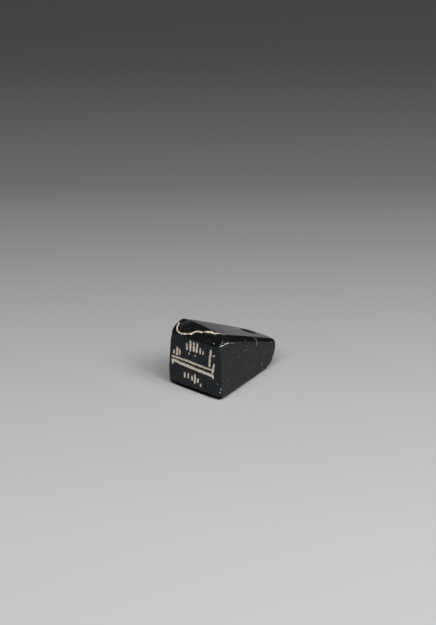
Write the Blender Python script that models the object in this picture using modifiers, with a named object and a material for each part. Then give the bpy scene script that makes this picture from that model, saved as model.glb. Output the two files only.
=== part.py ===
"""An inscribed stone seal, lying on its side as it is kept when loose.

One piece of polished black stone: a block that tapers from an upright inscribed face to a small rounded end,
which is pierced from top to bottom for a cord. The face has two rows of shallow strokes with a double rule
between them, and the edge above it has lost two flakes.

X runs across the face, Y runs from the face to the pierced end, and Z is up. The origin is on the surface that
the seal lies on, below the middle of the block.
"""

import math

import bmesh
import bpy
from mathutils import Matrix, Vector

MM = 0.001

# The block, with lengths along Y counted from the foot of the inscribed face
LENGTH = 20.5 * MM
FACE_WIDTH = 13.5 * MM
FACE_LEAN = 0.3 * MM
SIDE_DRAFT = 0.6 * MM
END_WIDTH = 10.1 * MM
END_HEIGHT = 5.02 * MM
END_LEAN = 12.0

# The crest above the face, where the bevel over the inscription meets the sloping back
CREST_SETBACK = 3.6 * MM
CREST_HEIGHT = 12.84 * MM
BEVEL_RISE = 1.32 * MM
FACE_HEIGHT = CREST_HEIGHT - BEVEL_RISE

# The bevelled shoulder along the right of the back, and the facet that turns its front corner
RIGHT_START = 5.0 * MM
RIGHT_DROP = 1.6 * MM
RIGHT_END_DROP = 0.7 * MM
RIGHT_END_INSET = 0.75 * MM
CORNER_INSET = 1.3 * MM

# The left shoulder starts further back, from nothing, and widens towards the end
LEFT_START = 9.0 * MM
LEFT_DROP = 0.3 * MM
LEFT_END_DROP = 1.0 * MM
LEFT_END_INSET = 1.3 * MM

# Rounded edges
EDGE_RADIUS = 0.3 * MM
END_RADIUS = 1.0 * MM
HEEL_RADIUS = 2.0 * MM
ROUND_STEPS = 5

# The cord hole
HOLE_DIAMETER = 3.2 * MM
HOLE_FROM_END = 3.05 * MM
HOLE_TILT = 12.0
HOLE_SIDES = 48

# The flake that came off the crest leaves a long, shallow, tilted hollow
FLAKE_ACROSS = 0.248 * FACE_WIDTH
FLAKE_FROM_FACE = 3.05 * MM
FLAKE_ABOVE_CREST = 1.42 * MM
FLAKE_HALF_LENGTH = 0.704 * FACE_WIDTH
FLAKE_HALF_WIDTH = 8.0 * MM
FLAKE_HALF_DEPTH = 1.5 * MM
FLAKE_TILT = 13.5
FLAKE_SKEW = 23.4
FLAKE_SIDES = 48

# The inscription, as rows of plain strokes
STROKE_WIDTH = 0.5 * MM
STROKE_DEPTH = 0.22 * MM
STROKE_CLEAR = 0.06 * MM
STROKE_NARROWING = 0.45
STROKE_SLANT = 4.0
RULE_WIDTH = 0.55 * MM
SPUR_LENGTH = 1.7 * MM
SPUR_DEPTH = 0.17 * MM

# Its layout, in shares of the face's width across and of the face's height upward
RULE_HEIGHTS = (0.424, 0.522)
RULE_LENGTH = 0.797
RULE_SHIFT = -0.034
# Each group of strokes: where it starts, its foot, its pitch and the lengths in order
STROKE_GROUPS = (
    (-0.391, 0.580, 0.0564, (0.089, 0.161, 0.125)),
    (-0.150, 0.732, 0.0632, (0.152, 0.241, 0.214, 0.232)),
    (-0.102, 0.647, 0.1128, (0.071, 0.071)),
    (0.105, 0.741, 0.0540, (0.143, 0.098)),
    (0.290, 0.562, 0.0677, (0.357, 0.116)),
    (-0.184, 0.179, 0.0640, (0.134, 0.134)),
    (-0.045, 0.125, 0.0540, (0.116, 0.205, 0.107, 0.071)),
)

OVERCUT = 2.0 * MM


def row_point(across, from_face, height):
    """A point given by its distance from the foot of the face, in the seal's own frame."""
    return Vector((across, from_face - LENGTH / 2, height))


def side_at(from_face, height):
    """Half the block's width at that distance from the face and that height."""
    taper = (FACE_WIDTH - END_WIDTH) / 2 * from_face / LENGTH
    return FACE_WIDTH / 2 - taper - SIDE_DRAFT * height / FACE_HEIGHT


def back_at(from_face):
    """The height of the sloping back at that distance from the face."""
    fall = (CREST_HEIGHT - END_HEIGHT) / (LENGTH - CREST_SETBACK)
    return CREST_HEIGHT - fall * (from_face - CREST_SETBACK)


def face_at(height):
    """How far the leaning face stands back at that height."""
    return FACE_LEAN * height / FACE_HEIGHT


def make_collection(name):
    collection = bpy.data.collections.new(name)
    bpy.context.scene.collection.children.link(collection)
    return collection


def make_material(name, colour, roughness):
    material = bpy.data.materials.new(name)
    material.use_nodes = True
    shader = material.node_tree.nodes["Principled BSDF"]
    shader.inputs["Base Color"].default_value = (*colour, 1.0)
    shader.inputs["Roughness"].default_value = roughness
    shader.inputs["Metallic"].default_value = 0.0
    return material


def add_object(name, mesh, collection, is_cutter=False):
    thing = bpy.data.objects.new(name, mesh)
    collection.objects.link(thing)
    if is_cutter:
        thing.hide_render = True
        thing.display_type = "WIRE"
    return thing


def mesh_from(bm, name):
    mesh = bpy.data.meshes.new(name)
    bm.to_mesh(mesh)
    bm.free()
    return mesh


def grind(bm, first, second, third, inside):
    """Grinds the block off flat through three points, on the side away from the inside point."""
    normal = (second - first).cross(third - first).normalized()
    if normal.dot(inside - first) > 0:
        normal.negate()
    whole = bm.verts[:] + bm.edges[:] + bm.faces[:]
    cut = bmesh.ops.bisect_plane(
        bm, geom=whole, plane_co=first, plane_no=normal, clear_outer=True, dist=1e-7)["geom_cut"]
    rim = [item for item in cut if isinstance(item, bmesh.types.BMEdge)]
    if rim:
        bmesh.ops.contextual_create(bm, geom=rim)
    return normal


def grind_side(bm, inside, side):
    """One of the two tapering sides."""
    grind(bm,
          row_point(side * FACE_WIDTH / 2, 0, 0),
          row_point(side * side_at(LENGTH, 0), LENGTH, 0),
          row_point(side * side_at(0, FACE_HEIGHT), 0, FACE_HEIGHT),
          inside)


def grind_shoulder(bm, inside, side, start, drop, end_drop, end_inset):
    """The shoulder between a side and the back. Returns where its lower edge starts."""
    start_height = back_at(start) - drop
    end_height = back_at(LENGTH) - end_drop
    lower_start = row_point(side * side_at(start, start_height), start, start_height)
    lower_end = row_point(side * side_at(LENGTH, end_height), LENGTH, end_height)
    upper_end = row_point(side * (side_at(LENGTH, end_height) - end_inset), LENGTH, back_at(LENGTH))
    grind(bm, lower_start, lower_end, upper_end, inside)
    return lower_start


def grind_corner(bm, inside, shoulder_start):
    """The facet that runs from the top corner of the face to the crest, on the right."""
    across = side_at(face_at(FACE_HEIGHT), FACE_HEIGHT)
    crest_across = side_at(CREST_SETBACK, CREST_HEIGHT) - CORNER_INSET
    grind(bm,
          row_point(across, face_at(FACE_HEIGHT), FACE_HEIGHT),
          shoulder_start,
          row_point(crest_across, CREST_SETBACK, CREST_HEIGHT),
          inside)


def round_edges(body, bm, end_normal):
    """A small radius on every edge, a larger one round the pierced end and the largest under it."""
    weights = bm.edges.layers.float.new("bevel_weight_edge")
    for edge in bm.edges:
        at_end = any(face.normal.dot(end_normal) > 0.999 for face in edge.link_faces)
        on_underside = any(face.normal.z < -0.999 for face in edge.link_faces)
        radius = EDGE_RADIUS
        if at_end:
            radius = HEEL_RADIUS if on_underside else END_RADIUS
        edge[weights] = radius / HEEL_RADIUS
    bm.to_mesh(body.data)
    bevel = body.modifiers.new("rounded edges", "BEVEL")
    bevel.limit_method = "WEIGHT"
    bevel.width = HEEL_RADIUS
    bevel.segments = ROUND_STEPS
    bevel.use_clamp_overlap = True


def make_body(collection, material):
    bm = bmesh.new()
    bmesh.ops.create_cube(bm, size=1.0)
    block = Vector((FACE_WIDTH + OVERCUT, LENGTH + OVERCUT, CREST_HEIGHT + OVERCUT))
    bmesh.ops.scale(bm, vec=block, verts=bm.verts)
    bmesh.ops.translate(bm, vec=(0, 0, block.z / 2), verts=bm.verts)
    inside = row_point(0, LENGTH / 2, END_HEIGHT / 2)

    half = FACE_WIDTH / 2
    face_top = face_at(FACE_HEIGHT)
    grind(bm, row_point(-half, 0, 0), row_point(half, 0, 0), row_point(0, face_top, FACE_HEIGHT), inside)
    grind(bm,
          row_point(-half, face_top, FACE_HEIGHT),
          row_point(half, face_top, FACE_HEIGHT),
          row_point(0, CREST_SETBACK, CREST_HEIGHT),
          inside)
    grind(bm,
          row_point(-half, CREST_SETBACK, CREST_HEIGHT),
          row_point(half, CREST_SETBACK, CREST_HEIGHT),
          row_point(0, LENGTH, back_at(LENGTH)),
          inside)
    for side in (-1, 1):
        grind_side(bm, inside, side)
    grind_shoulder(bm, inside, -1, LEFT_START, LEFT_DROP, LEFT_END_DROP, LEFT_END_INSET)
    shoulder_start = grind_shoulder(bm, inside, 1, RIGHT_START, RIGHT_DROP, RIGHT_END_DROP, RIGHT_END_INSET)
    grind_corner(bm, inside, shoulder_start)
    undercut = math.tan(math.radians(END_LEAN)) * END_HEIGHT
    end_normal = grind(bm,
                       row_point(-half, LENGTH, END_HEIGHT),
                       row_point(half, LENGTH, END_HEIGHT),
                       row_point(0, LENGTH - undercut, 0),
                       inside)
    bm.normal_update()

    body = add_object("seal", bpy.data.meshes.new("seal"), collection)
    body.data.materials.append(material)
    round_edges(body, bm, end_normal)
    bm.free()
    return body


def make_hole_cutter(collection):
    """A round drill, square to the line midway between the underside and the sloping back."""
    bm = bmesh.new()
    depth = END_HEIGHT * 3 + 2 * OVERCUT
    bmesh.ops.create_cone(bm, cap_ends=True, segments=HOLE_SIDES, radius1=HOLE_DIAMETER / 2,
                          radius2=HOLE_DIAMETER / 2, depth=depth)
    drill = add_object("hole_cutter", mesh_from(bm, "hole_cutter"), collection, is_cutter=True)
    from_face = LENGTH - HOLE_FROM_END
    drill.location = row_point(0, from_face, back_at(from_face))
    drill.rotation_euler = (-math.radians(HOLE_TILT), 0, 0)
    return drill


def make_flake_cutter(collection):
    """The hollow left by the flake: a long ellipsoid, tilted so that it runs out along the crest."""
    bm = bmesh.new()
    bmesh.ops.create_uvsphere(bm, u_segments=FLAKE_SIDES, v_segments=FLAKE_SIDES // 2, radius=1.0)
    flake = add_object("flake_cutter", mesh_from(bm, "flake_cutter"), collection, is_cutter=True)
    place = Matrix.Translation(row_point(FLAKE_ACROSS, FLAKE_FROM_FACE, CREST_HEIGHT + FLAKE_ABOVE_CREST))
    tilt = Matrix.Rotation(-math.radians(FLAKE_TILT), 4, "Y")
    skew = Matrix.Rotation(math.radians(FLAKE_SKEW), 4, "Z")
    size = Matrix.Diagonal((FLAKE_HALF_LENGTH, FLAKE_HALF_WIDTH, FLAKE_HALF_DEPTH, 1.0))
    flake.matrix_world = place @ tilt @ skew @ size
    return flake


def add_stroke(bm, face, across, height, length, width, depth, slant):
    """One pointed stroke, from clear of the face to its depth, where it is narrower."""
    turned = face @ Matrix.Translation((across, height, 0)) @ Matrix.Rotation(-math.radians(slant), 4, "Z")
    outline = ((0.0, 0.5), (0.5, 0.3), (0.35, -0.25), (0.0, -0.5), (-0.35, -0.25), (-0.5, 0.3))
    rings = []
    for level in (STROKE_CLEAR, -depth):
        share = 1 + (1 - STROKE_NARROWING) * level / depth
        reach = length - (1 - share) * width
        rings.append([bm.verts.new(turned @ Vector((a * width * share, b * reach, level))) for a, b in outline])
    for upper, lower in zip(rings, rings[1:]):
        for k in range(len(outline)):
            nxt = (k + 1) % len(outline)
            bm.faces.new((upper[k], lower[k], lower[nxt], upper[nxt]))
    bm.faces.new(rings[0])
    bm.faces.new(list(reversed(rings[-1])))


def face_matrix():
    """Across and up the inscribed face, with the third axis straight out of it."""
    lean = math.atan2(FACE_LEAN, FACE_HEIGHT)
    return Matrix.Translation(row_point(0, 0, 0)) @ Matrix.Rotation(math.pi / 2 - lean, 4, "X")


def make_stroke_cutters(collection):
    """The groups of strokes and the double rule, and the short spurs that cross the ends of the rule."""
    face = face_matrix()
    bm = bmesh.new()
    for start, foot, pitch, lengths in STROKE_GROUPS:
        for k, share in enumerate(lengths):
            slant = STROKE_SLANT if k % 2 else -STROKE_SLANT / 2
            across = (start + k * pitch) * FACE_WIDTH
            middle = (foot + share / 2) * FACE_HEIGHT
            add_stroke(bm, face, across, middle, share * FACE_HEIGHT, STROKE_WIDTH, STROKE_DEPTH, slant)
    rule_across = RULE_SHIFT * FACE_WIDTH
    rule_length = RULE_LENGTH * FACE_WIDTH
    for share in RULE_HEIGHTS:
        add_stroke(bm, face, rule_across, share * FACE_HEIGHT, rule_length, RULE_WIDTH, STROKE_DEPTH, 90)
    bmesh.ops.recalc_face_normals(bm, faces=bm.faces)
    strokes = add_object("stroke_cutter", mesh_from(bm, "stroke_cutter"), collection, is_cutter=True)

    bm = bmesh.new()
    middle = sum(RULE_HEIGHTS) / len(RULE_HEIGHTS) * FACE_HEIGHT
    for side in (-1, 1):
        across = rule_across + side * (rule_length / 2 - STROKE_WIDTH)
        add_stroke(bm, face, across, middle, SPUR_LENGTH, STROKE_WIDTH, SPUR_DEPTH, 0)
    bmesh.ops.recalc_face_normals(bm, faces=bm.faces)
    spurs = add_object("spur_cutter", mesh_from(bm, "spur_cutter"), collection, is_cutter=True)
    return strokes, spurs


def carve(body, cutter, name):
    boolean = body.modifiers.new(name, "BOOLEAN")
    boolean.operation = "DIFFERENCE"
    boolean.solver = "EXACT"
    boolean.object = cutter


bpy.ops.object.select_all(action="DESELECT")
for old in list(bpy.data.objects):
    bpy.data.objects.remove(old, do_unlink=True)

parts = make_collection("inscribed_seal")
cutters = make_collection("cutters")
stone = make_material("black_stone", (0.012, 0.013, 0.014), 0.22)
seal = make_body(parts, stone)
carve(seal, make_hole_cutter(cutters), "cord hole")
carve(seal, make_flake_cutter(cutters), "lost flake")
for stroke_cutter in make_stroke_cutters(cutters):
    carve(seal, stroke_cutter, "inscription")
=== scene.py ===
"""The look of the small black stone seal: its polished body, its cuts and losses, and a plain studio.

Lengths are in millimetres until a mesh is made. The seal's own coordinates are X across the inscribed face,
Y from the foot of the face towards the pierced end, and Z up from the surface that it lies on.
"""

import math

import bmesh
import bpy
import numpy as np
from mathutils import Matrix, Vector, noise


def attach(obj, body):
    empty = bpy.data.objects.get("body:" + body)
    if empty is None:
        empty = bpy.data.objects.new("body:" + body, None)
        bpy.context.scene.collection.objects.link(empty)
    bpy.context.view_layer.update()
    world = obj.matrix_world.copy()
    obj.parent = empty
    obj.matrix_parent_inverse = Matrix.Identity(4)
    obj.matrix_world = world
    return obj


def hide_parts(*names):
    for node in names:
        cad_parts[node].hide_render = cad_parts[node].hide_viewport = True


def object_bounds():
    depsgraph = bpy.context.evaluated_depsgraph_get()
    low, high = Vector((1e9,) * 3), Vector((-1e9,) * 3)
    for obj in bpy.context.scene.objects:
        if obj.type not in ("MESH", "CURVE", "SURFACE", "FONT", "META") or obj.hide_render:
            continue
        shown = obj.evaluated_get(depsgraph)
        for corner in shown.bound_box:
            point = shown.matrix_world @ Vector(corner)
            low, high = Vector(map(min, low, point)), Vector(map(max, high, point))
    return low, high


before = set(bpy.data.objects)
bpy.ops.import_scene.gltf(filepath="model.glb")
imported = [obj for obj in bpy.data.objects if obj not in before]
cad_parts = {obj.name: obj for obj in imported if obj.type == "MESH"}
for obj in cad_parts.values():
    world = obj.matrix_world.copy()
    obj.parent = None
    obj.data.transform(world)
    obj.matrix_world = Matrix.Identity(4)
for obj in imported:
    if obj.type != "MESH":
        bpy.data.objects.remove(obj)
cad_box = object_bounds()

MM = 0.001

# The block, as in the solid that it replaces
LENGTH = 20.5
FACE_WIDTH = 13.5
FACE_LEAN = 0.3
SIDE_DRAFT = 0.6
END_WIDTH = 10.1
END_HEIGHT = 5.02
END_LEAN = 12.0
CREST_SETBACK = 3.6
CREST_HEIGHT = 12.84
FACE_HEIGHT = 11.52

# The hand-ground faces are a little fuller than flat
BACK_CROWN = 0.11
BACK_LEAN = 0.045
BACK_END_CROWN = 0.22
BEVEL_CROWN = 0.12
BEVEL_LEFT_CROWN = 0.24
SIDE_CROWN = 0.08
END_CROWN = 0.2

EDGE_RADIUS = 0.4
CREST_RADIUS = 0.22
LEFT_CORNER_RADIUS = 0.75
RIGHT_CORNER_RADIUS = 0.62
CORNER_FOOT_RADIUS = 0.95
FACE_FOOT_RADIUS = 0.4
SIDE_FOOT_RADIUS = 0.62
BACK_EDGE_RADIUS = 0.12
END_RADIUS = 0.35
HEEL_RADIUS = 1.6

HOLE_RADIUS = 1.68
HOLE_FROM_END = 3.05
HOLE_TILT = 12.0

FACE_TILT = math.atan2(FACE_LEAN, FACE_HEIGHT)
BACK_TILT = math.atan2(CREST_HEIGHT - END_HEIGHT, LENGTH - CREST_SETBACK)
BEVEL_SLOPE = (CREST_HEIGHT - FACE_HEIGHT) / (CREST_SETBACK - FACE_LEAN)

# Where the arches of the ground faces run out, and the place and spread of the swell of the back's end
SIDE_ARCH_REACH = 2.0
END_ARCH_HALF = 5.0
SWELL_PLACE = 2.0
SWELL_SPREAD = 2.6
SWELL_ALONG = (13.0, 22.0)

# The cage whose points are moved out to the ground faces: its cells, its pull to the edges and its rise
GRID = 104
CAGE_PULL = 0.35
CAGE_RISE = 0.45
CAGE_STEPS = 34
CENTRE = np.array((0.0, 9.0, 4.8))
RAY_LIMIT = 20.0

# Nicks and cracks are aimed this far above the places that are listed for them
SPOT_LIFT = 0.3
SPOT_STEPS = 30


def side_half(y, z):
    """Half the width of the block at that distance from the face and that height."""
    return FACE_WIDTH / 2 - (FACE_WIDTH - END_WIDTH) / 2 * y / LENGTH - SIDE_DRAFT * z / FACE_HEIGHT


def back_line(y):
    """The height of the flat back at that distance from the face."""
    fall = (CREST_HEIGHT - END_HEIGHT) / (LENGTH - CREST_SETBACK)
    return CREST_HEIGHT - fall * (y - CREST_SETBACK)


def plane_through(first, second, third):
    """The outward normal and the distance of a plane through three points of the block."""
    a, b, c = (np.array(p, float) for p in (first, second, third))
    normal = np.cross(b - a, c - a)
    normal /= np.linalg.norm(normal)
    if normal @ (CENTRE - a) > 0:
        normal = -normal
    return normal, normal @ a


def shoulder(side, start, drop, end_drop, end_inset):
    """The long bevel between a side and the back, and where its lower edge starts."""
    start_z = back_line(start) - drop
    end_z = back_line(LENGTH) - end_drop
    low_start = (side * side_half(start, start_z), start, start_z)
    low_end = (side * side_half(LENGTH, end_z), LENGTH, end_z)
    top_end = (side * (side_half(LENGTH, end_z) - end_inset), LENGTH, back_line(LENGTH))
    return plane_through(low_start, low_end, top_end), low_start


def bump_between(value, low, high):
    """A smooth arch that is 0 at and beyond both ends and 1 half way."""
    t = np.clip((value - low) / (high - low), 0, 1)
    return 4 * t * (1 - t)


def smooth_step(value, low, high):
    """A smooth rise from 0 at low to 1 at high."""
    t = np.clip((value - low) / (high - low), 0, 1)
    return t * t * (3 - 2 * t)


RIGHT_SHOULDER, RIGHT_START = shoulder(1, 5.0, 1.65, 0.75, 0.54)
LEFT_SHOULDER, _ = shoulder(-1, 9.0, 0.2, 1.4, 2.2)
CORNER = plane_through(
    (side_half(FACE_LEAN, FACE_HEIGHT), FACE_LEAN, FACE_HEIGHT - 0.22),
    RIGHT_START,
    (side_half(CREST_SETBACK, CREST_HEIGHT) - 0.85, CREST_SETBACK, CREST_HEIGHT - 0.2))


def bevel_height(x, y):
    """The bevel over the inscription, which is fullest at its left end."""
    left = BEVEL_LEFT_CROWN * smooth_step(-x, 4.3, 5.9) * smooth_step(y, 0.3, 1.6)
    crown = BEVEL_CROWN * bump_between(y, FACE_LEAN, CREST_SETBACK)
    return FACE_HEIGHT + BEVEL_SLOPE * (y - FACE_LEAN) + crown + left


def back_height(x, y):
    """The sloping back: it leans a little to the right, and its end is fullest right of the middle."""
    swell = np.exp(-((x - SWELL_PLACE) / SWELL_SPREAD) ** 2) * smooth_step(y, *SWELL_ALONG)
    crown = BACK_CROWN * bump_between(y, CREST_SETBACK, LENGTH)
    return back_line(y) + crown + BACK_END_CROWN * swell - BACK_LEAN * x


def rounding(x, y, z):
    """How far the edges are rounded.

    Each smooth step gives the millimetres over which one part of the block fades into the next.
    """
    near_face = smooth_step(-y, -2.5, -0.5)
    low = smooth_step(-z, -2.5, -0.2)
    outer = smooth_step(np.abs(x), 3.5, 6.2)
    radius = EDGE_RADIUS + (CREST_RADIUS - EDGE_RADIUS) * smooth_step(z, 9.5, 11.8)
    radius = radius + (SIDE_FOOT_RADIUS - EDGE_RADIUS) * low
    radius = radius + (FACE_FOOT_RADIUS - SIDE_FOOT_RADIUS) * near_face * low
    radius = radius + ((CORNER_FOOT_RADIUS - FACE_FOOT_RADIUS) * near_face * outer
                       * smooth_step(-z, -4.0, -0.3))
    radius = radius + ((END_RADIUS - EDGE_RADIUS) * smooth_step(y, 15.0, 19.0)
                       * smooth_step(z, 1.5, 4.0))
    radius = radius + ((HEEL_RADIUS - SIDE_FOOT_RADIUS) * smooth_step(y, 16.0, 19.0)
                       * smooth_step(-z, -3.5, -1.0))
    left_corner = smooth_step(-x, 4.8, 5.8) * smooth_step(-y, -1.6, -0.4) * smooth_step(z, 9.5, 10.8)
    radius = radius + (LEFT_CORNER_RADIUS - radius) * left_corner
    right_corner = (smooth_step(x, 4.8, 5.8) * near_face
                    * smooth_step(z, 1.0, 2.5) * smooth_step(-z, -10.5, -8.5))
    radius = radius + (RIGHT_CORNER_RADIUS - radius) * right_corner
    near_back = smooth_step(z - back_line(y), -1.4, -0.4) * smooth_step(-x, 1.0, 4.0)
    along_back = smooth_step(y, 3.6, 6.0) * smooth_step(-y, -19.5, -17.5)
    return radius + (BACK_EDGE_RADIUS - radius) * near_back * along_back


def outside(p):
    """Above zero outside the block: each ground face in turn, rounded where two of them meet."""
    x, y, z = p[:, 0], p[:, 1], p[:, 2]
    end_lean = math.radians(END_LEAN)
    back = (z - back_height(x, y)) * math.cos(BACK_TILT)
    bevel = (z - bevel_height(x, y)) * math.cos(math.atan(BEVEL_SLOPE))
    face = (z * FACE_LEAN / FACE_HEIGHT - y) * math.cos(FACE_TILT)
    side_arch = SIDE_CROWN * bump_between(y, -SIDE_ARCH_REACH, LENGTH + SIDE_ARCH_REACH)
    right = x - side_half(y, z) - side_arch
    left = -x - side_half(y, z) - side_arch
    end_arch = END_CROWN * bump_between(x, -END_ARCH_HALF, END_ARCH_HALF)
    end = (y - LENGTH - end_arch - (z - END_HEIGHT) * math.tan(end_lean)) * math.cos(end_lean)
    cuts = [face, bevel, back, right, left, end, -z]
    cuts += [p @ normal - distance for normal, distance in (RIGHT_SHOULDER, LEFT_SHOULDER, CORNER)]
    radius = rounding(x, y, z)
    total = sum(np.maximum(cut + radius, 0) ** 2 for cut in cuts)
    return np.sqrt(total) - radius


def reach(rays, steps):
    """How far each ray from the block's middle goes before it leaves the block."""
    near, far = np.zeros(len(rays)), np.full(len(rays), RAY_LIMIT)
    for _ in range(steps):
        middle = (near + far) / 2
        out = outside(CENTRE + rays * middle[:, None]) > 0
        far = np.where(out, middle, far)
        near = np.where(out, near, middle)
    return near


def on_surface(spot):
    """The point of the block's surface in line with its middle and that spot."""
    ray = np.array(spot, float) + (0.0, 0.0, SPOT_LIFT) - CENTRE
    ray /= np.linalg.norm(ray)
    return Vector(CENTRE + ray * reach(ray[None, :], SPOT_STEPS)[0])


def row(p):
    """From the seal's own coordinates in millimetres to the row's frame in metres."""
    return (np.asarray(p, float) - (0.0, LENGTH / 2, 0.0)) * MM


def block_mesh():
    """A fine cage in the rough shape of the block, with its points then moved out to the ground faces."""
    bm = bmesh.new()
    bmesh.ops.create_cube(bm, size=2.0)
    bmesh.ops.subdivide_edges(bm, edges=bm.edges, cuts=GRID - 1, use_grid_fill=True)
    mesh = bpy.data.meshes.new("stone_seal")
    bm.to_mesh(mesh)
    bm.free()
    flat = np.empty(len(mesh.vertices) * 3)
    mesh.vertices.foreach_get("co", flat)
    cube = flat.reshape(-1, 3)
    cube = cube + CAGE_PULL * np.sin(np.pi * cube) / np.pi
    y = (cube[:, 1] + 1) / 2 * LENGTH
    top = np.minimum(FACE_HEIGHT + CAGE_RISE * y, back_line(y))
    z = (cube[:, 2] + 1) / 2 * top
    rough = np.stack((cube[:, 0] * side_half(y, z), y, z), 1)
    ray = rough - CENTRE
    ray /= np.linalg.norm(ray, axis=1)[:, None]
    surface = CENTRE + ray * reach(ray, CAGE_STEPS)[:, None]
    mesh.vertices.foreach_set("co", row(surface).ravel())
    mesh.update()
    return mesh


def sheet_noise(p, size, seed=0.0):
    """Smooth noise between -1 and 1 at a point in millimetres, with features about as large as size."""
    return noise.noise(Vector(p) / size + Vector((seed * 3.7, seed * 1.3, seed * 5.1)))


def face_outwards(bm):
    """Turns each closed shell so that its faces look outwards."""
    bmesh.ops.recalc_face_normals(bm, faces=bm.faces)
    bm.normal_update()
    left = set(bm.faces)
    for start in bm.faces[:]:
        if start not in left:
            continue
        left.remove(start)
        shell, fringe = [], [start]
        while fringe:
            face = fringe.pop()
            shell.append(face)
            for edge in face.edges:
                for other in edge.link_faces:
                    if other in left:
                        left.remove(other)
                        fringe.append(other)
        origin = shell[0].verts[0].co.copy()
        volume = sum((face.calc_center_median() - origin).dot(face.normal) * face.calc_area()
                     for face in shell)
        if volume < 0:
            bmesh.ops.reverse_faces(bm, faces=shell)


def skin(bm, rings):
    """Joins a run of rings into a tube and closes both of its ends."""
    for low, high in zip(rings, rings[1:]):
        for k in range(len(low)):
            nxt = (k + 1) % len(low)
            bm.faces.new((low[k], low[nxt], high[nxt], high[k]))
    bm.faces.new(list(reversed(rings[0])))
    bm.faces.new(rings[-1])


def cutter_from(bm, name, material):
    """An object to cut with, made of the closed shells in bm."""
    face_outwards(bm)
    mesh = bpy.data.meshes.new(name)
    bm.to_mesh(mesh)
    bm.free()
    mesh.materials.append(material)
    mesh.polygons.foreach_set("use_smooth", [True] * len(mesh.polygons))
    thing = bpy.data.objects.new(name, mesh)
    bpy.context.scene.collection.objects.link(thing)
    return thing


HOLE_SPAN = (-13.0, 9.0)
HOLE_RINGS = 60
HOLE_SIDES = 72
HOLE_WOBBLE = 0.012


def drill(material):
    """The round cord hole, square to the line midway between the underside and the back."""
    bm = bmesh.new()
    from_face = LENGTH - HOLE_FROM_END
    middle = Vector((0, from_face, back_line(from_face)))
    axis = Matrix.Rotation(-math.radians(HOLE_TILT), 4, "X")
    rings = []
    for height in np.linspace(*HOLE_SPAN, HOLE_RINGS):
        ring = []
        for k in range(HOLE_SIDES):
            angle = math.tau * k / HOLE_SIDES
            across, up = math.cos(angle), math.sin(angle)
            wobble = 1 + HOLE_WOBBLE * sheet_noise((across * 2, up * 2, height), 1.3, 2)
            point = Vector((across * HOLE_RADIUS * wobble, up * HOLE_RADIUS * wobble, height))
            ring.append(bm.verts.new(row(middle + axis @ point)))
        rings.append(ring)
    skin(bm, rings)
    return cutter_from(bm, "hole_cutter", material)


# The outline of the lost flake in plan: its front edge lies on the bevel and its rear edge on the back
SCAR_FRONT = ((-5.5, 2.66), (-5.3, 1.75), (-5.02, 1.25), (-4.72, 0.89), (-4.34, 0.7), (-4.0, 0.61),
              (-3.28, 0.7), (-2.4, 0.88), (-1.6, 1.44), (-0.96, 2.08), (-0.6, 2.32), (0.34, 2.44),
              (0.94, 2.84), (1.7, 3.3))
SCAR_REAR = ((-5.5, 2.72), (-5.15, 3.35), (-4.8, 3.95), (-4.35, 4.45), (-3.9, 4.68), (-3.24, 4.64),
             (-2.02, 4.58), (-0.4, 4.26), (0.6, 3.96), (1.3, 3.66), (1.7, 3.4))
SCAR_SAG = 0.13
SCAR_STEP = 0.1
SCAR_COLUMNS = 64
SCAR_ROWS = 44
# The cutter's sheet goes on past both rims by about half of the scar's width
SCAR_SHARES = (-0.55, 1.55)
SCAR_NARROWEST = 0.35
CUTTER_TOP = 15.0


def along_curve(points, x):
    """The second coordinate of a line of points where the first one is x."""
    xs, ys = zip(*points)
    return float(np.interp(x, xs, ys))


def flake(material):
    """The scar of the lost flake: a shallow scoop, with a step down at its left and a slightly ragged rim."""
    bm = bmesh.new()
    columns = np.linspace(SCAR_FRONT[0][0], SCAR_FRONT[-1][0], SCAR_COLUMNS)
    shares = np.linspace(*SCAR_SHARES, SCAR_ROWS)
    grid = []
    for x in columns:
        front, rear = along_curve(SCAR_FRONT, x), along_curve(SCAR_REAR, x)
        front += 0.05 * sheet_noise((x, 0, 0), 0.5, 3)
        rear += 0.04 * sheet_noise((x, 9, 0), 0.6, 4)
        low, high = float(bevel_height(x, front)), float(back_height(x, rear))
        from_left = x - SCAR_FRONT[0][0]
        step = SCAR_STEP * (1 - math.exp(-from_left / 0.06)) * (0.3 + 0.7 * math.exp(-from_left / 2.2))
        line = []
        for share in shares:
            y = front + share * max(rear - front, SCAR_NARROWEST)
            z = low + (high - low) * share
            within = min(max(share, 0), 1)
            inner = 1 - abs(2 * within - 1) ** 5
            waves = math.sin(math.hypot(x - 3.0, y - 4.5) * 6.0)
            ripple = 0.012 * waves + 0.02 * sheet_noise((x, y, 1), 0.7, 5)
            z += inner * (ripple - step) - SCAR_SAG * 4 * share * (1 - share)
            line.append(bm.verts.new(row((x, y, z))))
        grid.append(line)
    for first, second in zip(grid, grid[1:]):
        for k in range(len(first) - 1):
            bm.faces.new((first[k], second[k], second[k + 1], first[k + 1]))
    raised = bmesh.ops.extrude_face_region(bm, geom=bm.faces[:])
    lifted = [item for item in raised["geom"] if isinstance(item, bmesh.types.BMVert)]
    for vert in lifted:
        vert.co.z = CUTTER_TOP * MM
    return cutter_from(bm, "flake_cutter", material)


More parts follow.
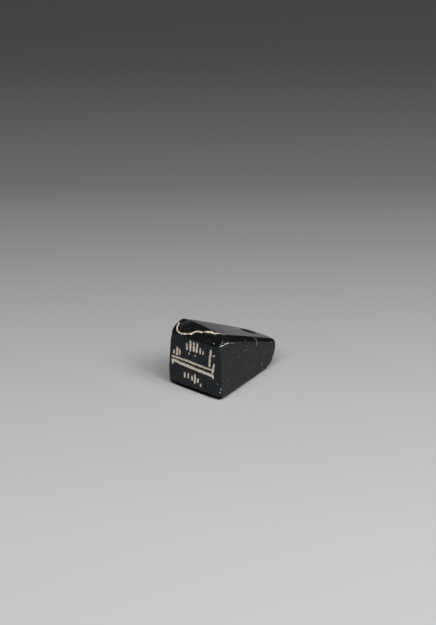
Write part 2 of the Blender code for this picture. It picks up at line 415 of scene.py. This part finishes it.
# The bruised rim of the scar and of the crest beyond it: place in plan, and how wide the bruise is
RIM = ((-5.5, 2.4, 0.09), (-5.24, 1.4, 0.11), (-4.74, 0.84, 0.12), (-4.0, 0.58, 0.13), (-3.28, 0.64, 0.14),
       (-2.5, 0.8, 0.15), (-2.2, 0.98, 0.04), (-1.9, 1.14, 0.2), (-1.55, 1.36, 0.29), (-1.25, 1.62, 0.2),
       (-0.96, 1.98, 0.14), (-0.6, 2.22, 0.21), (-0.1, 2.3, 0.17), (0.34, 2.36, 0.21), (0.94, 2.74, 0.19),
       (1.3, 2.94, 0.24), (1.62, 3.05, 0.34), (1.95, 3.1, 0.24), (2.3, 3.1, 0.2), (2.76, 3.08, 0.24),
       (3.1, 3.2, 0.22), (3.4, 3.36, 0.15), (3.8, 3.6, 0.1), (4.3, 3.95, 0.07), (4.7, 4.25, 0.04))


RIM_SPACING = 0.07
RIM_SIDES = 10
RIM_LEAST = 0.03


def bruised_rim(material):
    """A shallow, uneven groove that follows the front rim of the scar and runs out along the crest."""
    stations = []
    for (x0, y0, r0), (x1, y1, r1) in zip(RIM, RIM[1:]):
        count = max(2, int(math.hypot(x1 - x0, y1 - y0) / RIM_SPACING))
        for k in range(count):
            t = k / count
            stations.append((x0 + (x1 - x0) * t, y0 + (y1 - y0) * t, r0 + (r1 - r0) * t))
    stations.append(RIM[-1])
    bm = bmesh.new()
    rings = []
    for k, (x, y, r) in enumerate(stations):
        xa, ya, _ = stations[max(k - 1, 0)]
        xb, yb, _ = stations[min(k + 1, len(stations) - 1)]
        ahead = Vector((xb - xa, yb - ya)).normalized()
        cross = Vector((ahead.y, -ahead.x))
        r *= 1.2 + 0.55 * sheet_noise((x, y, 0), 0.22, 8)
        r = max(r, RIM_LEAST)
        ring = []
        for j in range(RIM_SIDES):
            angle = math.tau * (j + 0.5) / RIM_SIDES
            wide = r * math.cos(angle) * (1 + 0.25 * sheet_noise((x, y, j), 0.25, 9)) + 0.35 * r
            px, py = x + cross.x * wide, y + cross.y * wide
            surface = min(float(bevel_height(px, py)), float(back_height(px, py)))
            deep = 0.75 * r * math.sin(angle) * (1 + 0.25 * sheet_noise((x, y, j + 20), 0.25, 9))
            ring.append(bm.verts.new(row((px, py, surface + deep))))
        rings.append(ring)
    skin(bm, rings)
    return cutter_from(bm, "rim_cutter", material)


# Small nicks: place, the way that the surface faces there, half sizes along and across, depth, turn
NICKS = (
    ((5.0, 9.92, 8.58), (0.65, 0.32, 0.69), 0.16, 0.12, 0.08, 20),
    ((5.37, 14.75, 1.62), (0.99, 0.09, 0.05), 0.36, 0.17, 0.1, 75),
    ((4.52, 0.75, 11.5), (0.0, -0.46, 0.89), 0.2, 0.12, 0.08, 0),
    ((5.92, 0.09, 3.27), (0.0, -1.0, 0.03), 0.14, 0.16, 0.08, 30),
    ((5.78, 6.91, 6.52), (1.0, 0.08, 0.05), 0.18, 0.1, 0.06, 60),
    ((6.44, 0.62, 2.3), (0.9, -0.4, 0.03), 0.3, 0.42, 0.07, 15),
    ((6.36, 0.3, 1.5), (0.75, -0.65, 0.03), 0.22, 0.3, 0.07, 40),
    ((6.2, 3.2, 3.1), (1.0, 0.08, 0.05), 0.1, 0.16, 0.04, 10),
    ((5.3, 12.9, 4.4), (0.99, 0.09, 0.05), 0.08, 0.12, 0.04, 50),
)
# Scratches and one crescent-shaped crack: points on the surface, half width and depth
CRACKS = (
    (((4.28, 13.24, 7.7), (4.57, 13.65, 7.23), (4.91, 13.69, 6.88), (5.22, 13.34, 6.49), (5.3, 12.75, 6.16)),
     0.1, 0.08),
    (((5.6, 8.7, 7.0), (5.53, 9.5, 6.96), (5.49, 10.25, 6.74)), 0.06, 0.04),
)
CRACK_OUT = (0.98, 0.1, 0.15)
CRACK_SIDES = 8
CRACK_STEPS = 6


def basis(normal, turn):
    """Along, up and out for a mark on a surface that faces that way, turned by an angle."""
    out = Vector(normal).normalized()
    along = Vector((0, 0, 1)).cross(out)
    if along.length < 0.2:
        along = Vector((1, 0, 0))
    along.normalize()
    up = out.cross(along)
    spin = Matrix.Rotation(math.radians(turn), 3, out)
    return spin @ along, spin @ up, out


def nicks(material):
    """Small, uneven chips in the worn surface."""
    bm = bmesh.new()
    for seed, (place, normal, long, short, deep, turn) in enumerate(NICKS):
        along, up, out = basis(normal, turn)
        centre = on_surface(place) + out * (0.35 * deep)
        ball = bmesh.ops.create_uvsphere(bm, u_segments=16, v_segments=10, radius=1.0)["verts"]
        for vert in ball:
            a, b, c = vert.co
            wobble = 1 + 0.3 * sheet_noise((a, b, c), 0.7, seed + 11)
            spot = centre + (along * (a * long) + up * (b * short) + out * (c * deep)) * wobble
            vert.co = row(spot)
    return cutter_from(bm, "nick_cutter", material)


def curve_through(points, steps):
    """A smooth run of points through the given ones."""
    line = [points[0] * 2 - points[1]] + list(points) + [points[-1] * 2 - points[-2]]
    curve = []
    for a, b, c, d in zip(line, line[1:], line[2:], line[3:]):
        for k in range(steps):
            t = k / steps
            curve.append(0.5 * (2 * b + (c - a) * t + (2 * a - 5 * b + 4 * c - d) * t ** 2
                                + (3 * b - a - 3 * c + d) * t ** 3))
    return curve + [points[-1]]


def cracks(material):
    """Shallow open cracks, which taper to both ends."""
    bm = bmesh.new()
    out = Vector(CRACK_OUT).normalized()
    for seed, (points, half, deep) in enumerate(CRACKS):
        curve = curve_through([on_surface(p) for p in points], CRACK_STEPS)
        last = len(curve) - 1
        rings = []
        for k, spot in enumerate(curve):
            ahead = (curve[min(k + 1, last)] - curve[max(k - 1, 0)]).normalized()
            cross = ahead.cross(out).normalized()
            size = min(1.0, 0.3 + min(k, last - k) / 6) * (1 + 0.3 * sheet_noise(spot, 0.5, seed + 20))
            ring = []
            for j in range(CRACK_SIDES):
                angle = math.tau * (j + 0.5) / CRACK_SIDES
                aside = cross * (half * size * math.cos(angle))
                ring.append(bm.verts.new(row(spot + aside + out * (2 * deep * size * math.sin(angle)))))
            rings.append(ring)
        skin(bm, rings)
    return cutter_from(bm, "crack_cutter", material)


def face_point(across, up, out=0.0):
    """A point given on the inscribed face: across, up from its foot, and straight out of it."""
    sin, cos = math.sin(FACE_TILT), math.cos(FACE_TILT)
    return Vector((across, up * sin - out * cos, up * cos + out * sin))


# The section of a channel: shares of its width across, then millimetres above the face or shares of its depth
CHANNEL_SECTION = ((-0.62, 0.08), (0.62, 0.08), (0.34, -0.7), (0.1, -1.0), (-0.12, -1.0), (-0.36, -0.66))
CHANNEL_SPACING = 0.16
FEWEST_STATIONS = 7


def add_channel(bm, points, width, depth, seed):
    """A hand-cut channel along a line on the face, with pointed ends and slightly uneven edges."""
    line = [Vector(p) for p in points]
    spans = [(b - a).length for a, b in zip(line, line[1:])]
    total = sum(spans)
    count = max(FEWEST_STATIONS, int(total / CHANNEL_SPACING))
    rings = []
    for k in range(count + 1):
        along = total * k / count
        left = along
        for a, b, span in zip(line, line[1:], spans):
            if left <= span or b is line[-1]:
                break
            left -= span
        spot = a + (b - a) * (left / span)
        ahead = (b - a).normalized()
        cross = Vector((-ahead.y, ahead.x))
        end = min(along, total - along)
        full = min(1.0, 0.42 + end / (width * 0.9))
        wide = width * full * (1 + 0.22 * sheet_noise((spot.x, spot.y, seed), 0.55, 1))
        deep = depth * (0.35 + 0.65 * full) * (1 + 0.25 * sheet_noise((spot.x, spot.y, seed), 0.8, 2))
        shift = 0.07 * sheet_noise((spot.x, spot.y, seed), 0.7, 3)
        ring = []
        for across, level in CHANNEL_SECTION:
            flat = spot + cross * (across * wide + shift)
            out = level if level > 0 else level * deep
            ring.append(bm.verts.new(row(face_point(flat.x, flat.y, out))))
        rings.append(ring)
    skin(bm, rings)


# The double rule, then the strokes that stand for the inscription: separate marks that spell nothing.
# Each line has its points across and up the face, its width and its depth.
RULES = (
    (((-5.85, 6.18), (-2.0, 6.25), (1.6, 6.14), (4.85, 6.20)), 0.47, 0.26),
    (((-5.85, 5.40), (-3.0, 5.25), (0.5, 5.06), (4.95, 4.94)), 0.63, 0.3),
)
SPURS = (
    (((-5.55, 5.47), (-5.45, 4.47)), 0.51, 0.2),
    (((4.5, 5.17), (4.72, 6.42), (4.9, 7.77)), 0.47, 0.24),
    (((4.62, 4.87), (4.86, 4.27)), 0.45, 0.18),
)
STROKES = (
    (((-5.25, 6.77), (-5.15, 7.82)), 0.47, 0.22),
    (((-4.5, 6.62), (-4.35, 8.62)), 0.50, 0.24),
    (((-3.75, 6.92), (-3.8, 8.32)), 0.47, 0.22),
    (((-1.95, 8.57), (-1.98, 10.22)), 0.47, 0.22),
    (((-1.12, 8.52), (-1.08, 11.02)), 0.52, 0.25),
    (((-0.25, 8.67), (-0.22, 10.92)), 0.52, 0.25),
    (((0.42, 8.67), (0.72, 11.02)), 0.50, 0.24),
    (((-1.4, 7.77), (-1.3, 8.27)), 0.47, 0.2),
    (((0.12, 7.72), (0.2, 8.22)), 0.47, 0.2),
    (((1.35, 8.67), (1.45, 10.12)), 0.47, 0.22),
    (((2.1, 8.77), (2.15, 9.72)), 0.45, 0.2),
    (((3.72, 6.62), (3.85, 8.62), (4.08, 10.62)), 0.50, 0.24),
    (((4.55, 9.12), (5.15, 9.52)), 0.45, 0.18),
    (((-2.42, 2.32), (-2.4, 3.72)), 0.47, 0.22),
    (((-1.55, 2.47), (-1.5, 3.77)), 0.47, 0.22),
    (((-0.6, 2.27), (-0.55, 3.47)), 0.47, 0.22),
    (((0.12, 1.82), (0.2, 4.02)), 0.50, 0.24),
    (((0.86, 2.22), (0.98, 3.32)), 0.47, 0.22),
    (((1.6, 1.57), (1.68, 2.37)), 0.45, 0.18),
)


def channels(name, lines, material, seed):
    """One cutter for several lines on the face."""
    bm = bmesh.new()
    for k, (points, width, depth) in enumerate(lines):
        add_channel(bm, points, width, depth, seed + k * 1.7)
    return cutter_from(bm, name, material)


def bake_cut(body, cutter):
    """Takes the cutter away from the body, whose new surface keeps the cutter's material."""
    boolean = body.modifiers.new("cut", "BOOLEAN")
    boolean.operation = "DIFFERENCE"
    boolean.solver = "EXACT"
    boolean.material_mode = "TRANSFER"
    boolean.object = cutter
    depsgraph = bpy.context.evaluated_depsgraph_get()
    cut = bpy.data.meshes.new_from_object(body.evaluated_get(depsgraph), depsgraph=depsgraph)
    body.modifiers.clear()
    old = body.data
    body.data = cut
    bpy.data.meshes.remove(old)
    old_cutter = cutter.data
    bpy.data.objects.remove(cutter)
    bpy.data.meshes.remove(old_cutter)


class Nodes:
    """Short ways to add and join the nodes of one material."""

    def __init__(self, name):
        self.material = bpy.data.materials.new(name)
        self.material.use_nodes = True
        self.tree = self.material.node_tree
        self.shader = self.tree.nodes["Principled BSDF"]
        self.place = self.add("ShaderNodeTexCoord").outputs["Object"]

    def add(self, kind, **settings):
        node = self.tree.nodes.new(kind)
        for key, value in settings.items():
            setattr(node, key, value)
        return node

    def join(self, source, target):
        self.tree.links.new(source, target)

    def noise(self, size_mm, detail=3.0, roughness=0.5, distortion=0.0, stretch=None):
        node = self.add("ShaderNodeTexNoise")
        node.inputs["Scale"].default_value = 1.0 / (size_mm * MM)
        node.inputs["Detail"].default_value = detail
        node.inputs["Roughness"].default_value = roughness
        node.inputs["Distortion"].default_value = distortion
        place = self.place
        if stretch:
            mapping = self.add("ShaderNodeMapping")
            mapping.inputs["Scale"].default_value = stretch
            self.join(place, mapping.inputs["Vector"])
            place = mapping.outputs["Vector"]
        self.join(place, node.inputs["Vector"])
        return node.outputs["Fac"]

    def ramp(self, source, stops):
        """Colours, or plain numbers, at places along a value between 0 and 1."""
        node = self.add("ShaderNodeValToRGB")
        elements = node.color_ramp.elements
        while len(elements) < len(stops):
            elements.new(0.5)
        for element, (position, colour) in zip(elements, stops):
            element.position = position
            element.color = (*(colour if isinstance(colour, tuple) else (colour,) * 3), 1.0)
        self.join(source, node.inputs["Fac"])
        return node.outputs["Color"]

    def math(self, operation, first, second=None):
        node = self.add("ShaderNodeMath", operation=operation)
        for value, socket in ((first, node.inputs[0]), (second, node.inputs[1])):
            if value is None:
                continue
            if isinstance(value, (int, float)):
                socket.default_value = value
            else:
                self.join(value, socket)
        return node.outputs[0]

    def dot(self, direction, offset=0.0):
        """Millimetres along a direction, from the origin of the object's own coordinates."""
        node = self.add("ShaderNodeVectorMath", operation="DOT_PRODUCT")
        self.join(self.place, node.inputs[0])
        node.inputs[1].default_value = [d / MM for d in direction]
        return self.math("ADD", node.outputs["Value"], offset)

    def mix(self, share, first, second):
        node = self.add("ShaderNodeMix", data_type="RGBA")
        self.join(share, node.inputs["Factor"])
        for value, socket in ((first, node.inputs[6]), (second, node.inputs[7])):
            if isinstance(value, tuple):
                socket.default_value = (*value, 1.0)
            else:
                self.join(value, socket)
        return node.outputs[2]

    def bump(self, height, distance_mm, after=None):
        node = self.add("ShaderNodeBump")
        node.inputs["Distance"].default_value = distance_mm * MM
        node.inputs["Strength"].default_value = 1.0
        self.join(height, node.inputs["Height"])
        if after is not None:
            self.join(after, node.inputs["Normal"])
        return node.outputs["Normal"]


def polished_stone():
    """Black stone worn to a low polish, faintly mottled, with fine wear, pale flecks, a painted bluish
    reflection on the face and painted shade at its foot.
    """
    n = Nodes("polished_black_stone")
    cloud = n.noise(2.6, detail=4.0, roughness=0.6)
    base = n.ramp(cloud, ((0.3, (0.003, 0.0041, 0.0052)), (0.52, (0.0052, 0.0061, 0.0066)),
                          (0.72, (0.0095, 0.0102, 0.0088))))
    grain = n.noise(0.32, detail=3.0, roughness=0.7)
    grain_share = n.ramp(grain, ((0.5, 0.0), (0.7, 0.6)))
    base = n.mix(grain_share, base, (0.026, 0.027, 0.022))
    from_face = n.math("DIVIDE", n.dot((0, 1, 0), LENGTH / 2), 1.6)
    # Painted reflection: the inscribed face is tinted a little blue in its base colour.
    base = n.mix(n.ramp(from_face, ((0.16, 1.0), (0.34, 0.0))), base, (0.0042, 0.0088, 0.0128))
    fleck = n.noise(0.3, detail=1.0, distortion=0.6)
    fleck_share = n.ramp(fleck, ((0.755, 0.0), (0.79, 1.0)))
    base = n.mix(fleck_share, base, (0.22, 0.19, 0.14))
    # Painted shade: a near-black band along the foot of the inscribed face, where it meets the floor.
    height = n.math("DIVIDE", n.dot((0, 0, 1)), 1.2)
    painted_foot_shade = n.math("MULTIPLY", n.ramp(height, ((0.0, 0.7), (0.6, 1.0), (0.72, 0.0))),
                  n.ramp(from_face, ((0.3, 1.0), (0.8, 0.0))))
    base = n.mix(painted_foot_shade, base, (0.0015, 0.0015, 0.0015))
    n.join(base, n.shader.inputs["Base Color"])
    rough = n.noise(1.1, detail=3.0, roughness=0.65)
    n.join(n.ramp(rough, ((0.3, 0.09), (0.7, 0.15))), n.shader.inputs["Roughness"])
    fine = n.bump(n.noise(0.16, detail=2.0), 0.006)
    dents = n.bump(n.noise(1.4, detail=2.0), 0.03, after=fine)
    n.join(dents, n.shader.inputs["Normal"])
    wear = n.ramp(n.noise(0.7, detail=6.0, roughness=0.75), ((0.34, 0.28), (0.66, 0.6)))
    # The specular is also taken away inside the painted shade at the foot.
    outside_painted_foot_shade = n.ramp(painted_foot_shade, ((0.0, 1.0), (1.0, 0.0)))
    n.join(n.math("MULTIPLY", wear, outside_painted_foot_shade), n.shader.inputs["Specular IOR Level"])
    n.shader.inputs["IOR"].default_value = 1.37
    return n.material


def broken_stone():
    """The fresh break: the same black stone, a little rougher, with tiny steps."""
    n = Nodes("broken_black_stone")
    cloud = n.noise(1.2, detail=4.0, roughness=0.65)
    base = n.ramp(cloud, ((0.35, (0.005, 0.006, 0.0065)), (0.7, (0.011, 0.0115, 0.011))))
    n.join(base, n.shader.inputs["Base Color"])
    n.join(n.ramp(n.noise(0.5), ((0.3, 0.28), (0.7, 0.45))), n.shader.inputs["Roughness"])
    n.join(n.bump(n.noise(0.3, detail=4.0), 0.03), n.shader.inputs["Normal"])
    n.shader.inputs["Specular IOR Level"].default_value = 0.12
    n.shader.inputs["IOR"].default_value = 1.4
    return n.material


def cut_stone():
    """The cut strokes: pale bruised stone in the depth, stained brown towards the edges."""
    n = Nodes("cut_stroke")
    sin, cos = math.sin(FACE_TILT), math.cos(FACE_TILT)
    depth = n.dot((0, cos, -sin), LENGTH / 2 * cos)
    uneven = n.math("MULTIPLY", n.math("SUBTRACT", n.noise(0.35, detail=3.0), 0.5), 0.16)
    level = n.math("ADD", depth, uneven)
    tone = n.ramp(n.math("DIVIDE", level, 0.3),
                  ((0.0, (0.16, 0.09, 0.045)), (0.28, (0.42, 0.29, 0.18)),
                   (0.46, (0.74, 0.66, 0.55)), (0.8, (0.85, 0.8, 0.71))))
    stain = n.ramp(n.noise(0.8, detail=3.0), ((0.62, 0.0), (0.8, 0.5)))
    tone = n.mix(stain, tone, (0.26, 0.16, 0.085))
    n.join(tone, n.shader.inputs["Base Color"])
    n.shader.inputs["Roughness"].default_value = 0.8
    n.join(n.bump(n.noise(0.12, detail=3.0), 0.03), n.shader.inputs["Normal"])
    return n.material


def chipped_stone():
    """The small bruises along the edges and on the sides: pale, with warm stains."""
    n = Nodes("chipped_stone")
    tone = n.ramp(n.noise(0.45, detail=3.0),
                  ((0.34, (0.1, 0.055, 0.03)), (0.44, (0.45, 0.3, 0.17)),
                   (0.52, (0.68, 0.6, 0.47)), (0.66, (0.8, 0.78, 0.72))))
    n.join(tone, n.shader.inputs["Base Color"])
    n.shader.inputs["Roughness"].default_value = 0.75
    n.join(n.bump(n.noise(0.15, detail=3.0), 0.03), n.shader.inputs["Normal"])
    return n.material


def worn_stone():
    """The small nicks away from the edges: greyish beige."""
    n = Nodes("worn_stone")
    tone = n.ramp(n.noise(0.5, detail=3.0), ((0.35, (0.1, 0.095, 0.08)), (0.65, (0.3, 0.28, 0.23))))
    n.join(tone, n.shader.inputs["Base Color"])
    n.shader.inputs["Roughness"].default_value = 0.7
    n.join(n.bump(n.noise(0.15, detail=3.0), 0.03), n.shader.inputs["Normal"])
    return n.material


def bored_stone():
    """The wall of the hole, dull and faintly ringed by the drill."""
    n = Nodes("bored_stone")
    base = n.ramp(n.noise(0.8, detail=4.0), ((0.35, (0.003, 0.003, 0.003)), (0.7, (0.008, 0.0075, 0.0065))))
    n.join(base, n.shader.inputs["Base Color"])
    n.shader.inputs["Roughness"].default_value = 0.5
    n.join(n.bump(n.noise(0.25, stretch=(1.0, 1.0, 4.0)), 0.02), n.shader.inputs["Normal"])
    return n.material


def floor_with_painted_falloff():
    """A pale studio floor, painted darker towards the back of the set to stand in for the light falling off.
    """
    n = Nodes("studio_floor")
    # Painted shade: the floor's colour darkens away from the camera, in place of the light's fall-off.
    away = n.dot((-0.62, 0.785, 0.0), 80.0)
    share = n.math("DIVIDE", away, 260.0)
    stops = ((0.0, 0.5), (0.06, 0.5), (0.26, 0.46), (0.39, 0.395), (0.46, 0.345), (0.53, 0.29), (0.6, 0.238),
             (0.66, 0.178), (0.76, 0.143), (0.93, 0.092), (1.0, 0.085))
    n.join(n.ramp(share, stops), n.shader.inputs["Base Color"])
    n.shader.inputs["Roughness"].default_value = 0.9
    n.shader.inputs["Specular IOR Level"].default_value = 0.1
    n.join(n.bump(n.noise(0.8), 0.01), n.shader.inputs["Normal"])
    return n.material


def make_seal():
    """The whole seal. Each cut is made in the surface that the cuts before it have left."""
    stone, broken, cut, chipped, worn, bored = (
        polished_stone(), broken_stone(), cut_stone(), chipped_stone(), worn_stone(), bored_stone())
    mesh = block_mesh()
    mesh.materials.append(stone)
    seal = bpy.data.objects.new("stone_seal", mesh)
    bpy.context.scene.collection.objects.link(seal)
    bake_cut(seal, channels("stroke_cutter", STROKES, cut, 61.0))
    for k, spur in enumerate(SPURS):
        bake_cut(seal, channels("spur_cutter", (spur,), cut, 31.0 + k * 1.7))
    bake_cut(seal, channels("rule_cutter", RULES, cut, 1.0))
    bake_cut(seal, drill(bored))
    bake_cut(seal, flake(broken))
    bake_cut(seal, bruised_rim(chipped))
    bake_cut(seal, nicks(worn))
    bake_cut(seal, cracks(worn))
    finish_mesh(seal.data)
    return seal


def finish_mesh(mesh):
    """Smooth everywhere but along the rims of the cuts."""
    mesh.polygons.foreach_set("use_smooth", [True] * len(mesh.polygons))
    kinds = {}
    sharp = np.zeros(len(mesh.edges), bool)
    for polygon in mesh.polygons:
        for key in polygon.edge_keys:
            kinds.setdefault(key, set()).add(polygon.material_index)
    for edge in mesh.edges:
        sharp[edge.index] = len(kinds.get(edge.key, ())) > 1
    attribute = mesh.attributes.get("sharp_edge") or mesh.attributes.new("sharp_edge", "BOOLEAN", "EDGE")
    attribute.data.foreach_set("value", sharp)
    mesh.update()


# The studio, in metres and watts
LIGHT_AIM = Vector((0, 0, 0.005))
FLOOR_HALF = 4


def area_light(name, direction, distance, size, power):
    """A soft rectangular lamp that is turned to the seal."""
    data = bpy.data.lights.new(name, "AREA")
    data.shape = "RECTANGLE"
    data.size, data.size_y = size
    data.energy = power
    light = bpy.data.objects.new(name, data)
    bpy.context.scene.collection.objects.link(light)
    light.location = LIGHT_AIM + Vector(direction).normalized() * distance
    light.rotation_mode = "QUATERNION"
    light.rotation_quaternion = (LIGHT_AIM - light.location).to_track_quat("-Z", "Y")


def toward(azimuth, elevation):
    """A direction by its angle from the pierced end towards the right, and its angle above the floor."""
    a, e = math.radians(azimuth), math.radians(elevation)
    return math.sin(a) * math.cos(e), math.cos(a) * math.cos(e), math.sin(e)


def make_studio():
    """The floor, the faint light of the room and four soft lamps."""
    half = FLOOR_HALF
    floor_mesh = bpy.data.meshes.new("studio_floor")
    corners = [(-half, -half, 0), (half, -half, 0), (half, half, 0), (-half, half, 0)]
    floor_mesh.from_pydata(corners, [], [(0, 1, 2, 3)])
    floor = bpy.data.objects.new("studio_floor", floor_mesh)
    floor_mesh.materials.append(floor_with_painted_falloff())
    floor.location.z = cad_box[0][2]
    bpy.context.scene.collection.objects.link(floor)

    world = bpy.data.worlds.new("studio")
    world.use_nodes = True
    background = world.node_tree.nodes["Background"]
    background.inputs["Color"].default_value = (0.9, 0.95, 1.0, 1)
    background.inputs["Strength"].default_value = 0.01
    bpy.context.scene.world = world

    area_light("key", toward(92, 47), 0.6, (0.3, 0.3), 2.3)
    area_light("low_strip", toward(30, 2.0), 0.6, (0.075, 0.02), 0.24)
    area_light("overhead", (0.1, -0.17, 0.5), 0.55, (0.42, 0.42), 1.75)
    area_light("front", toward(182, 48), 0.8, (0.35, 0.3), 1.26)


# The photograph's view: angles in degrees, then metres. The span is the frame's longer side at the seal.
VIEW_AZIMUTH = 38.3
VIEW_ELEVATION = 27.3
VIEW_DISTANCE = 0.7
VIEW_SPAN = 0.125
LOOK_UP = 0.012134
LOOK_LEFT = 0.0016
SENSOR_WIDTH = 36


def make_camera():
    """The camera at the photograph's angle, turned so that the seal sits in the frame as it does there."""
    azimuth, elevation = math.radians(VIEW_AZIMUTH), math.radians(VIEW_ELEVATION)
    level = math.cos(elevation)
    back = Vector((math.sin(azimuth) * level, -math.cos(azimuth) * level, math.sin(elevation)))
    right = Vector((math.cos(azimuth), math.sin(azimuth), 0))
    up = back.cross(right)
    data = bpy.data.cameras.new("camera")
    data.lens = SENSOR_WIDTH * VIEW_DISTANCE / VIEW_SPAN
    data.sensor_width = SENSOR_WIDTH
    data.clip_start = 0.01
    data.clip_end = 20
    camera = bpy.data.objects.new("camera", data)
    bpy.context.scene.collection.objects.link(camera)
    camera.location = back * VIEW_DISTANCE
    look = -back * VIEW_DISTANCE + up * LOOK_UP - right * LOOK_LEFT
    forward = look.normalized()
    side = forward.cross(up).normalized()
    top = side.cross(forward)
    turn = Matrix((side, top, -forward)).transposed()
    camera.rotation_mode = "QUATERNION"
    camera.rotation_quaternion = turn.to_quaternion()
    bpy.context.scene.camera = camera


make_studio()
make_camera()
seal = make_seal()
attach(seal, "root")
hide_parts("seal")

scene = bpy.context.scene
scene.view_settings.view_transform = "Standard"
